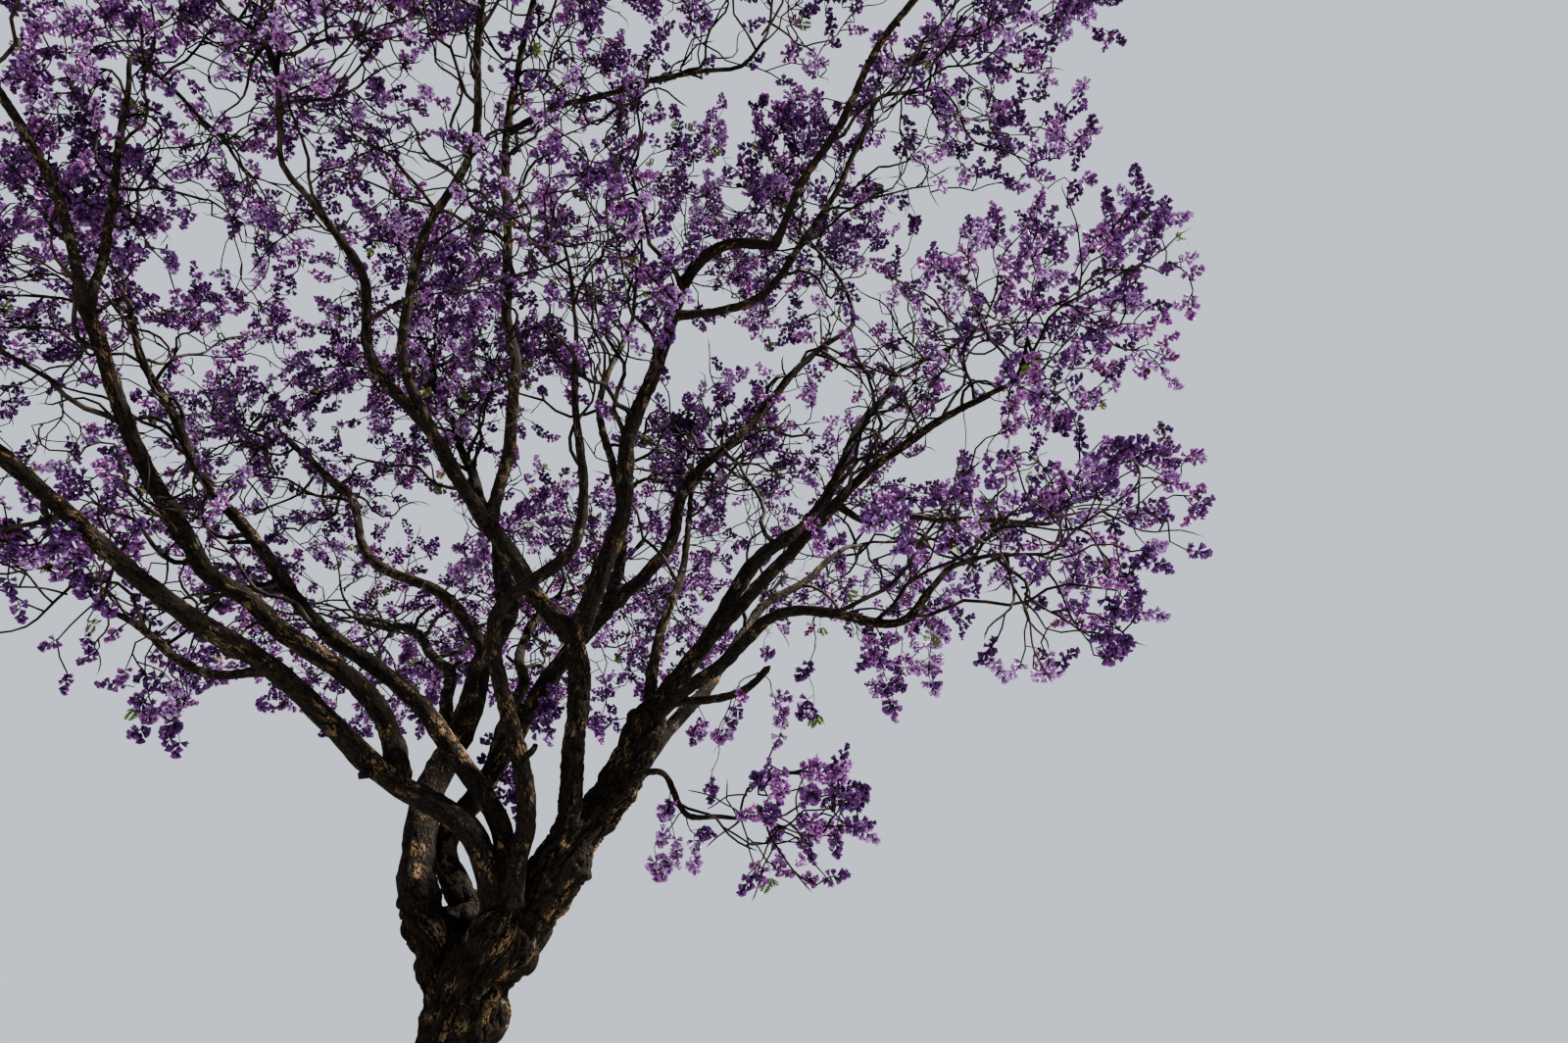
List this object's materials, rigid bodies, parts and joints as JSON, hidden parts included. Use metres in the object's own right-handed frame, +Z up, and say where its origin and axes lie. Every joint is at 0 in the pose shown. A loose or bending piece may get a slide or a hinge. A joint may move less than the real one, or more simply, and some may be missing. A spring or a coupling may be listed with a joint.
{
  "type": "jacaranda tree",
  "caption": "Jacaranda tree in blossom: a short leaning trunk that forks low into sinuous boughs under a wide, open crown of flower sprays.",
  "frame": {"origin": "middle of the flat cut under the trunk, at ground level", "axes": "+Z up along the height, +X toward the picture's right, +Y away from its camera"},
  "size_m": [13.1115, 13.3129, 13.2498],
  "materials": {
    "bark": "rough, fissured bark",
    "blossom": "matt petals"
  },
  "bodies": {
    "root": {"trunk": "bark", "left_upright": "bark", "left_inner": "bark", "back_left": "bark", "left_low": "bark", "left_under": "bark", "left_rising": "bark", "left_tall_front": "bark", "left_tall_back": "bark", "left_middle": "bark", "centre": "bark", "mid_upright": "bark", "mid_left": "bark", "mid_top": "bark", "mid_top_side": "bark", "mid_left_arch": "bark", "mid_left_fork": "bark", "right_arch": "bark", "right_arch_top": "bark", "right_arch_side": "bark", "rear": "bark", "rear_right": "bark", "back_top": "bark", "back_middle": "bark", "right_main": "bark", "right_upper": "bark", "right_outer": "bark", "right_mid": "bark", "right_shoulder": "bark", "right_lower": "bark", "right_stub": "bark", "right_sprig": "bark", "back_right": "bark", "blossom_left_low": "blossom", "blossom_left_under": "blossom", "blossom_left_front": "blossom", "blossom_left_high": "blossom", "blossom_left_middle": "blossom", "blossom_left_inner": "blossom", "blossom_left_upright": "blossom", "blossom_back_left": "blossom", "blossom_back": "blossom", "blossom_back_right": "blossom", "blossom_back_top": "blossom", "blossom_centre": "blossom", "blossom_top": "blossom", "blossom_top_right": "blossom", "blossom_top_left": "blossom", "blossom_front": "blossom", "blossom_front_right": "blossom", "blossom_right_high": "blossom", "blossom_right_inner": "blossom", "blossom_right_upper": "blossom", "blossom_right_outer": "blossom", "blossom_right_mid": "blossom", "blossom_right_low": "blossom", "blossom_right_shoulder": "blossom", "blossom_right_sprig": "blossom"}
  },
  "joints": []
}
